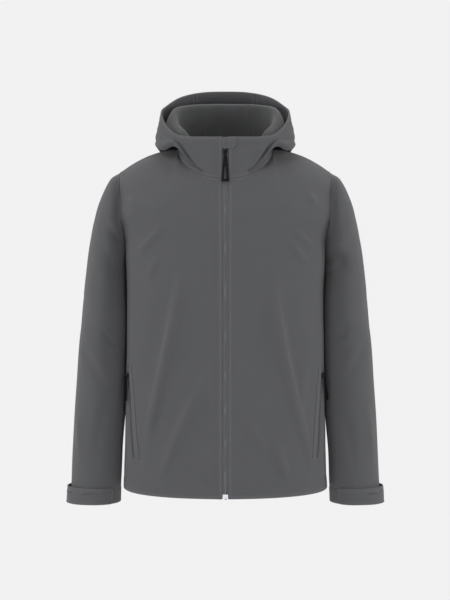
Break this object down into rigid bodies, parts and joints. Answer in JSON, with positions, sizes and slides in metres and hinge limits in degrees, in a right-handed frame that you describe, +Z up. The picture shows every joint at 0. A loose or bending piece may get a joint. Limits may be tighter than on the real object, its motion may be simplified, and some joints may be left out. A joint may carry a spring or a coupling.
{
  "type": "hooded softshell jacket",
  "caption": "Hooded softshell jacket, zipped up and filled out as worn, open at the neck, hem and cuffs, with a stand-up hood, zipped side pockets and cuff tabs.",
  "frame": {"origin": "middle of the neck opening between the shoulders, where the wearer holds the jacket up", "axes": "+Z up, -Y the jacket's front, +X the wearer's left"},
  "size_m": [0.6598, 0.2779, 0.8721],
  "materials": {
    "softshell": "matt, fine plain weave, mid grey",
    "zip_tape": "woven tape, grey",
    "slider_metal": "satin black",
    "puller_rubber": "matt black",
    "end_box_plastic": "pale, satin"
  },
  "bodies": {
    "jacket": {"front_left": "softshell", "front_right": "softshell", "back": "softshell", "sleeve_left": "softshell", "sleeve_right": "softshell", "hood_left": "softshell", "hood_right": "softshell", "hood_centre": "softshell", "chin_guard": "softshell", "cuff_tab_left": "softshell", "cuff_tab_right": "softshell", "pocket_welt_left": "softshell", "pocket_welt_right": "softshell", "zip_tape_left": "zip_tape", "zip_tape_right": "zip_tape", "pocket_zip_left": "zip_tape", "pocket_zip_right": "zip_tape", "zip_slider": "slider_metal", "pocket_slider_left": "slider_metal", "pocket_slider_right": "slider_metal", "zip_end_box": "end_box_plastic"},
    "zip_puller": {"zip_puller": "puller_rubber"},
    "pocket_puller_left": {"pocket_puller_left": "puller_rubber"},
    "pocket_puller_right": {"pocket_puller_right": "puller_rubber"}
  },
  "joints": [
    {"name": "zip_puller_swing", "type": "hinge", "parent": "jacket", "child": "zip_puller", "pos_m": [0, -0.10197, -0.0128], "axis": [-1, 0, 0], "range_deg": [0, 150]},
    {"name": "pocket_puller_left_swing", "type": "hinge", "parent": "jacket", "child": "pocket_puller_left", "pos_m": [0.20202, -0.05885, -0.46502], "axis": [-0.4228, -0.8821, -0.2079], "range_deg": [0, 150]},
    {"name": "pocket_puller_right_swing", "type": "hinge", "parent": "jacket", "child": "pocket_puller_right", "pos_m": [-0.20202, -0.05885, -0.46502], "axis": [-0.4349, 0.9005, 0], "range_deg": [0, 150]}
  ]
}
